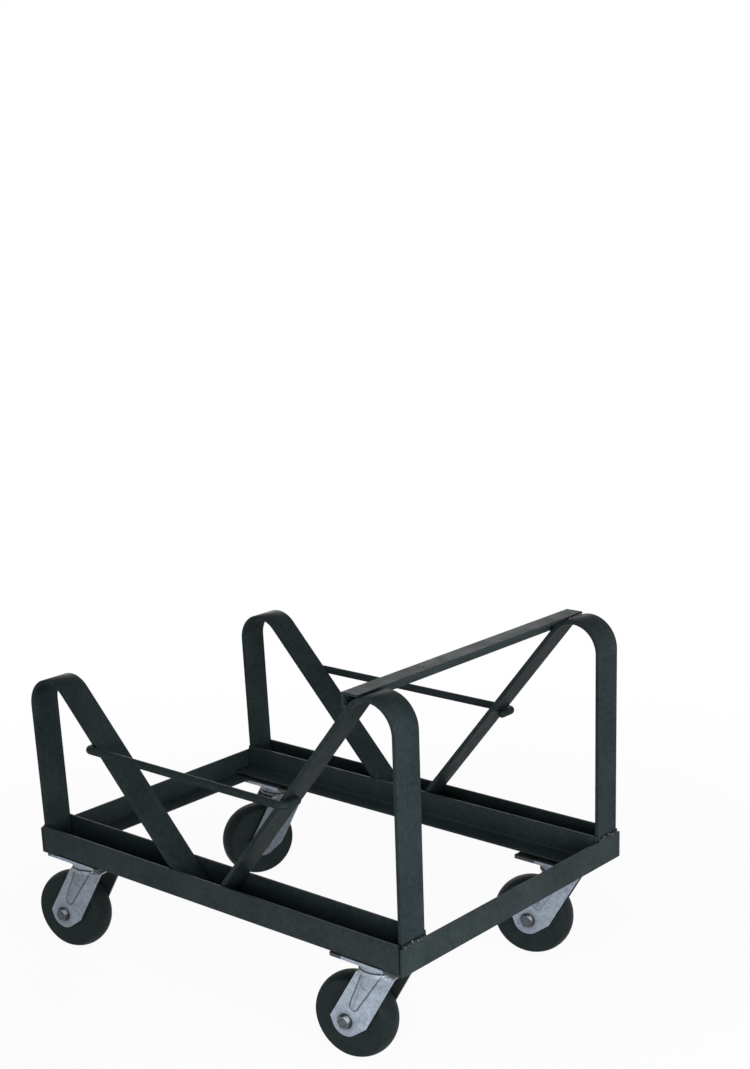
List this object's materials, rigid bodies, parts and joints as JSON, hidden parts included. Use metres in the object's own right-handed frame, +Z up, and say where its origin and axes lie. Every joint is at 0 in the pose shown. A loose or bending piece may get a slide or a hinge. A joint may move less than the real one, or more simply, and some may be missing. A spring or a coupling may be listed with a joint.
{
  "type": "stacking chair trolley",
  "caption": "Low trolley on swivel casters: an angle iron base with bent flat bar hoops that form a V cradle at each end for a stack of chairs.",
  "frame": {"origin": "on the floor under the middle of the whole trolley", "axes": "+X along the end rails towards the taller hoops and the top rail, +Y from the front end to the rear end, +Z up"},
  "size_m": [0.702, 0.4782, 0.4889],
  "materials": {
    "paint": "satin",
    "zinc": "satin",
    "steel": "satin",
    "wheel": "matte"
  },
  "bodies": {
    "frame": {"left_side_rail": "paint", "right_side_rail": "paint", "front_outer_rail": "paint", "rear_outer_rail": "paint", "front_inner_rail": "paint", "rear_inner_rail": "paint", "front_left_hoop": "paint", "front_right_hoop": "paint", "rear_left_hoop": "paint", "rear_right_hoop": "paint", "top_rail": "paint", "front_guard_rod": "paint", "rear_guard_rod": "paint", "plate_packers": "paint", "weld_beads": "paint", "front_left_top_plate": "zinc", "front_left_kingpin": "zinc", "front_left_lower_race": "zinc", "front_right_top_plate": "zinc", "front_right_kingpin": "zinc", "front_right_lower_race": "zinc", "rear_left_top_plate": "zinc", "rear_left_kingpin": "zinc", "rear_left_lower_race": "zinc", "rear_right_top_plate": "zinc", "rear_right_kingpin": "zinc", "rear_right_lower_race": "zinc"},
    "caster_front_left_swivel": {"front_left_fork": "zinc", "front_left_swivel_balls": "steel", "front_left_axle_bolt": "steel", "front_left_axle_nut": "steel", "front_left_axle_sleeve": "steel"},
    "caster_front_left_wheel": {"front_left_wheel": "wheel", "front_left_wheel_bush": "steel"},
    "caster_front_right_swivel": {"front_right_fork": "zinc", "front_right_swivel_balls": "steel", "front_right_axle_bolt": "steel", "front_right_axle_nut": "steel", "front_right_axle_sleeve": "steel"},
    "caster_front_right_wheel": {"front_right_wheel": "wheel", "front_right_wheel_bush": "steel"},
    "caster_rear_left_swivel": {"rear_left_fork": "zinc", "rear_left_swivel_balls": "steel", "rear_left_axle_bolt": "steel", "rear_left_axle_nut": "steel", "rear_left_axle_sleeve": "steel"},
    "caster_rear_left_wheel": {"rear_left_wheel": "wheel", "rear_left_wheel_bush": "steel"},
    "caster_rear_right_swivel": {"rear_right_fork": "zinc", "rear_right_swivel_balls": "steel", "rear_right_axle_bolt": "steel", "rear_right_axle_nut": "steel", "rear_right_axle_sleeve": "steel"},
    "caster_rear_right_wheel": {"rear_right_wheel": "wheel", "rear_right_wheel_bush": "steel"}
  },
  "joints": [
    {"name": "front_left_swivel", "type": "hinge", "parent": "frame", "child": "caster_front_left_swivel", "pos_m": [-0.25296, -0.1905, 0.1329], "axis": [0, 0, 1], "continuous": true},
    {"name": "front_left_roll", "type": "hinge", "parent": "caster_front_left_swivel", "child": "caster_front_left_wheel", "pos_m": [-0.29483, -0.19713, 0.0565], "axis": [-0.1564, 0.9877, 0], "continuous": true},
    {"name": "front_right_swivel", "type": "hinge", "parent": "frame", "child": "caster_front_right_swivel", "pos_m": [0.28554, -0.1905, 0.1329], "axis": [0, 0, 1], "continuous": true},
    {"name": "front_right_roll", "type": "hinge", "parent": "caster_front_right_swivel", "child": "caster_front_right_wheel", "pos_m": [0.24346, -0.19567, 0.0565], "axis": [-0.1219, 0.9925, 0], "continuous": true},
    {"name": "rear_left_swivel", "type": "hinge", "parent": "frame", "child": "caster_rear_left_swivel", "pos_m": [-0.25296, 0.1905, 0.1329], "axis": [0, 0, 1], "continuous": true},
    {"name": "rear_left_roll", "type": "hinge", "parent": "caster_rear_left_swivel", "child": "caster_rear_left_wheel", "pos_m": [-0.2702, 0.15177, 0.0565], "axis": [-0.9135, 0.4067, 0], "continuous": true},
    {"name": "rear_right_swivel", "type": "hinge", "parent": "frame", "child": "caster_rear_right_swivel", "pos_m": [0.28554, 0.1905, 0.1329], "axis": [0, 0, 1], "continuous": true},
    {"name": "rear_right_roll", "type": "hinge", "parent": "caster_rear_right_swivel", "child": "caster_rear_right_wheel", "pos_m": [0.245, 0.1781, 0.0565], "axis": [-0.2924, 0.9563, 0], "continuous": true}
  ]
}
